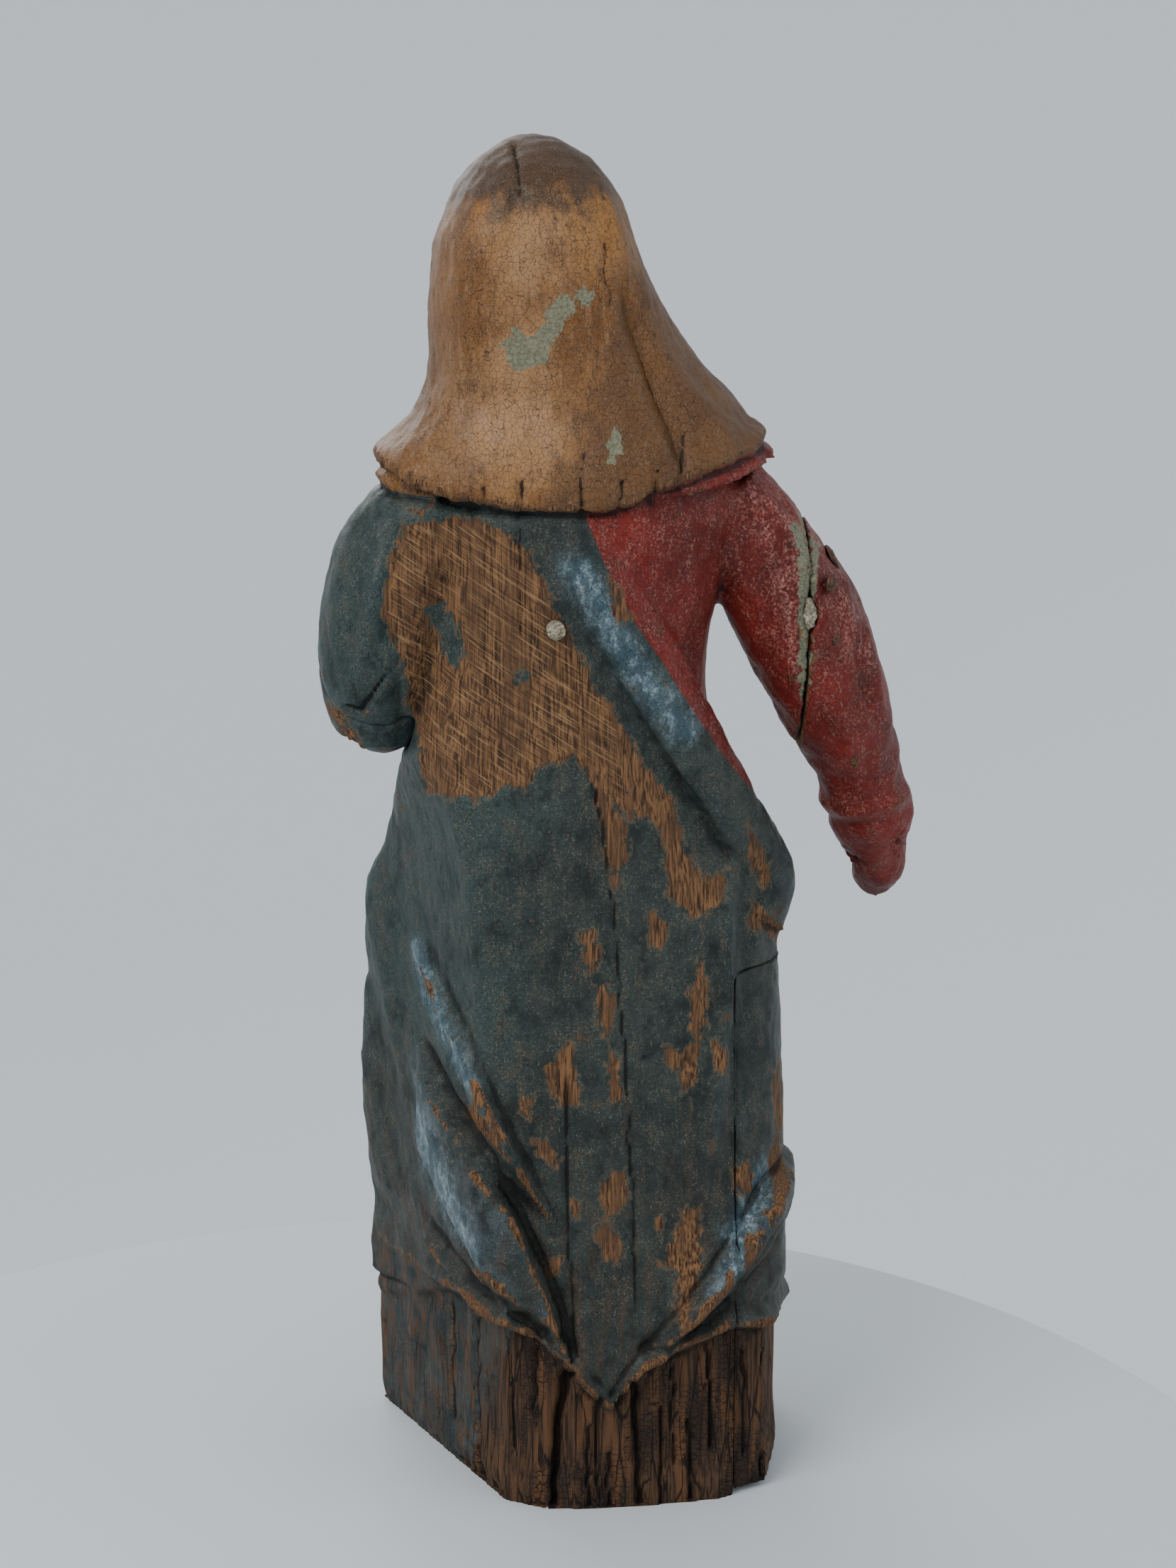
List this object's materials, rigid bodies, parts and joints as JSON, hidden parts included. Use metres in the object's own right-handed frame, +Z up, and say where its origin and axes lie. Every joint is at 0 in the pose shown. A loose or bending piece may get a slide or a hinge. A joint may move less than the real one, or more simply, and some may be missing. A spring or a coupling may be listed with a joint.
{
  "type": "madonna statue",
  "caption": "Standing veiled figure in carved painted wood, glued up from several timbers, with a rough plinth to stand on.",
  "frame": {"origin": "middle of the plinth's underside", "axes": "+Z up along the standing figure, the figure faces -Y, and its left hand side is at +X"},
  "size_m": [0.3794, 0.2562, 0.852],
  "materials": {
    "painted_wood": "old worn blue-green, red and ochre paint over chalk ground on carved wood",
    "red_painted_wood": "old worn red paint over chalk ground on carved wood",
    "bare_wood": "bare turned hardwood, oiled by age",
    "forged_iron": "rusted hand-forged iron",
    "putty": "dry chalk and glue putty, crumbled"
  },
  "bodies": {
    "root": {"trunk_core": "painted_wood", "right_side_timber": "painted_wood", "right_arm_block": "red_painted_wood", "left_forearm_block": "painted_wood", "right_arm_dowel_upper": "bare_wood", "right_arm_dowel_lower": "bare_wood", "left_forearm_dowel_upper": "bare_wood", "left_forearm_dowel_lower": "bare_wood", "side_timber_peg_upper": "bare_wood", "side_timber_peg_lower": "bare_wood", "left_hand_dowel": "bare_wood", "arm_nail_top": "forged_iron", "arm_nail_upper": "forged_iron", "arm_nail_lower": "forged_iron", "arm_joint_filler": "putty", "back_plug": "putty"}
  },
  "joints": []
}
